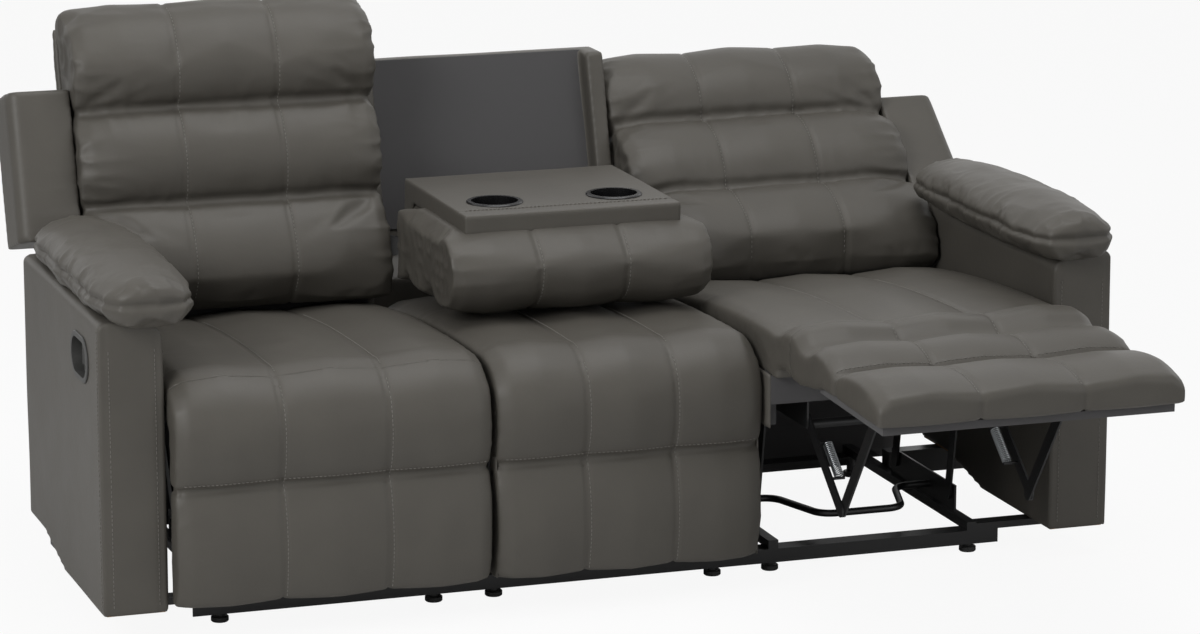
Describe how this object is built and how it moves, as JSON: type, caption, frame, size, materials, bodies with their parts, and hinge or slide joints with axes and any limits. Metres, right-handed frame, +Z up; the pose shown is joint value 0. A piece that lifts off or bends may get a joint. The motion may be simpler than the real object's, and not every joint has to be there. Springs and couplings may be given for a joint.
{
  "type": "recliner sofa",
  "caption": "Leather recliner sofa with a closed seat, an open reclined seat with raised leg rest, and a centre back that folds down as a table with cup holders.",
  "frame": {"origin": "middle of the footprint on the floor, with the right seat open as stored", "axes": "+X to the sitter's left as seen from the front right, +Y to the rear, +Z up"},
  "size_m": [2, 1.6692, 1.0331],
  "materials": {
    "grey_leather": "fine grain, semi-matt",
    "lining_fabric": "plain matt",
    "black_steel": "black powder coat",
    "zinc_spring_steel": "zinc plated",
    "frame_wood": "raw board",
    "black_plastic": "satin gloss",
    "grey_plastic": "fine texture",
    "black_nylon": "matt"
  },
  "bodies": {
    "frame": {"front_base_rail": "black_steel", "rear_base_rail": "black_steel", "base_side_rails": "black_steel", "glide_feet": "black_nylon", "arm_outriggers": "black_steel", "swing_base_plates": "black_steel", "stretcher_tubes": "black_steel", "arm_frames": "frame_wood", "arm_cover_right": "grey_leather", "arm_cover_left": "grey_leather", "arm_pad_right": "grey_leather", "arm_pad_left": "grey_leather", "handle_bezels": "grey_plastic", "centre_seat_frame": "frame_wood", "centre_seat_springs": "zinc_spring_steel", "centre_seat_cushion": "grey_leather", "centre_front_pad": "grey_leather", "centre_back_shell": "grey_leather", "centre_back_lining": "lining_fabric", "table_hinge_brackets": "black_steel"},
    "table": {"table_board": "grey_leather", "table_cushion": "grey_leather", "cup_holders": "black_plastic"},
    "left_front_swing": {"left_front_swing_links": "black_steel"},
    "right_front_swing": {"right_front_swing_links": "black_steel"},
    "left_rear_swing": {"left_rear_swing_links": "black_steel"},
    "right_rear_swing": {"right_rear_swing_links": "black_steel"},
    "left_seat": {"left_seat_plates": "black_steel", "left_seat_frame": "frame_wood", "left_seat_springs": "zinc_spring_steel", "left_seat_cushion": "grey_leather"},
    "right_seat": {"right_seat_plates": "black_steel", "right_seat_frame": "frame_wood", "right_seat_springs": "zinc_spring_steel", "right_seat_cushion": "grey_leather"},
    "left_back": {"left_back_board": "frame_wood", "left_back_brackets": "black_steel", "left_back_cushion": "grey_leather", "left_back_cover": "grey_leather"},
    "right_back": {"right_back_board": "frame_wood", "right_back_brackets": "black_steel", "right_back_cushion": "grey_leather", "right_back_cover": "grey_leather"},
    "left_crown": {"left_crown_pad": "grey_leather"},
    "right_crown": {"right_crown_pad": "grey_leather"},
    "left_legrest": {"left_legrest_pad": "grey_leather", "left_legrest_board": "frame_wood", "left_legrest_brackets": "black_steel"},
    "right_legrest": {"right_legrest_pad": "grey_leather", "right_legrest_board": "frame_wood", "right_legrest_brackets": "black_steel"},
    "left_drive": {"left_drive_links": "black_steel", "left_tension_springs": "zinc_spring_steel"},
    "right_drive": {"right_drive_links": "black_steel", "right_tension_springs": "zinc_spring_steel"},
    "left_lift": {"left_lift_links": "black_steel"},
    "right_lift": {"right_lift_links": "black_steel"},
    "left_lever": {"left_release_lever": "grey_plastic"},
    "right_lever": {"right_release_lever": "grey_plastic"}
  },
  "joints": [
    {"name": "left_recline", "type": "hinge", "parent": "frame", "child": "left_front_swing", "pos_m": [-0.5635, -0.04203, 0.095], "axis": [1, 0, 0], "range_deg": [0, 38.5]},
    {"name": "left_seat_level", "type": "hinge", "parent": "left_front_swing", "child": "left_seat", "pos_m": [-0.5635, 0.07534, 0.31574], "axis": [1, 0, 0], "range_deg": [-38.5, 0]},
    {"name": "left_rear_link", "type": "hinge", "parent": "frame", "child": "left_rear_swing", "pos_m": [-0.5635, 0.22797, 0.095], "axis": [1, 0, 0], "range_deg": [0, 38.5]},
    {"name": "left_back_tilt", "type": "hinge", "parent": "left_seat", "child": "left_back", "pos_m": [-0.5635, 0.39797, 0.318], "axis": [1, 0, 0], "range_deg": [-34, 0]},
    {"name": "left_footrest", "type": "hinge", "parent": "left_crown", "child": "left_legrest", "pos_m": [-0.5635, -0.29203, 0.44], "axis": [1, 0, 0], "range_deg": [-66, 0]},
    {"name": "left_crown_fold", "type": "hinge", "parent": "left_seat", "child": "left_crown", "pos_m": [-0.5635, -0.17203, 0.495], "axis": [1, 0, 0], "range_deg": [-22, 0]},
    {"name": "left_drive_link", "type": "hinge", "parent": "left_seat", "child": "left_drive", "pos_m": [-0.5635, -0.10203, 0.32], "axis": [1, 0, 0], "range_deg": [-75.7, 0]},
    {"name": "left_lift_link", "type": "hinge", "parent": "left_drive", "child": "left_lift", "pos_m": [-0.5635, -0.00449, 0.10071], "axis": [1, 0, 0], "range_deg": [0, 66.57]},
    {"name": "left_release", "type": "hinge", "parent": "frame", "child": "left_lever", "pos_m": [-0.97, -0.06603, 0.508], "axis": [0, 0, -1], "range_deg": [0, 28], "stiffness_Nm_per_rad": 0.4},
    {"name": "right_recline", "type": "hinge", "parent": "frame", "child": "right_front_swing", "pos_m": [0.5635, -0.04203, 0.095], "axis": [1, 0, 0], "range_deg": [-38.5, 0]},
    {"name": "right_seat_level", "type": "hinge", "parent": "right_front_swing", "child": "right_seat", "pos_m": [0.5635, -0.08759, 0.34081], "axis": [1, 0, 0], "range_deg": [0, 38.5]},
    {"name": "right_rear_link", "type": "hinge", "parent": "frame", "child": "right_rear_swing", "pos_m": [0.5635, 0.22797, 0.095], "axis": [1, 0, 0], "range_deg": [-38.5, 0]},
    {"name": "right_back_tilt", "type": "hinge", "parent": "right_seat", "child": "right_back", "pos_m": [0.5635, 0.23504, 0.34308], "axis": [1, 0, 0], "range_deg": [0, 34]},
    {"name": "right_footrest", "type": "hinge", "parent": "right_crown", "child": "right_legrest", "pos_m": [0.5635, -0.46682, 0.51404], "axis": [1, 0, 0], "range_deg": [0, 66]},
    {"name": "right_crown_fold", "type": "hinge", "parent": "right_seat", "child": "right_crown", "pos_m": [0.5635, -0.33496, 0.52008], "axis": [1, 0, 0], "range_deg": [0, 22]},
    {"name": "right_drive_link", "type": "hinge", "parent": "right_seat", "child": "right_drive", "pos_m": [0.5635, -0.26496, 0.34508], "axis": [1, 0, 0], "range_deg": [0, 75.7]},
    {"name": "right_lift_link", "type": "hinge", "parent": "right_drive", "child": "right_lift", "pos_m": [0.5635, -0.45337, 0.19641], "axis": [1, 0, 0], "range_deg": [-66.57, 0]},
    {"name": "right_release", "type": "hinge", "parent": "frame", "child": "right_lever", "pos_m": [0.97, -0.06603, 0.508], "axis": [0, 0, 1], "range_deg": [0, 28], "stiffness_Nm_per_rad": 0.4},
    {"name": "table_fold", "type": "hinge", "parent": "frame", "child": "table", "pos_m": [0, 0.43797, 0.555], "axis": [1, 0, 0], "range_deg": [-106, 0]}
  ],
  "couplings": [
    {"joint": "left_seat_level", "follows": "left_recline", "ratio": -1},
    {"joint": "left_rear_link", "follows": "left_recline", "ratio": 1},
    {"joint": "left_back_tilt", "follows": "left_recline", "ratio": -0.88312},
    {"joint": "left_crown_fold", "follows": "left_footrest", "ratio": 0.33333},
    {"joint": "left_drive_link", "follows": "left_footrest", "ratio": 1.147},
    {"joint": "left_lift_link", "follows": "left_footrest", "ratio": -1.0086},
    {"joint": "right_seat_level", "follows": "right_recline", "ratio": -1},
    {"joint": "right_rear_link", "follows": "right_recline", "ratio": 1},
    {"joint": "right_back_tilt", "follows": "right_recline", "ratio": -0.88312},
    {"joint": "right_crown_fold", "follows": "right_footrest", "ratio": 0.33333},
    {"joint": "right_drive_link", "follows": "right_footrest", "ratio": 1.147},
    {"joint": "right_lift_link", "follows": "right_footrest", "ratio": -1.0086}
  ]
}
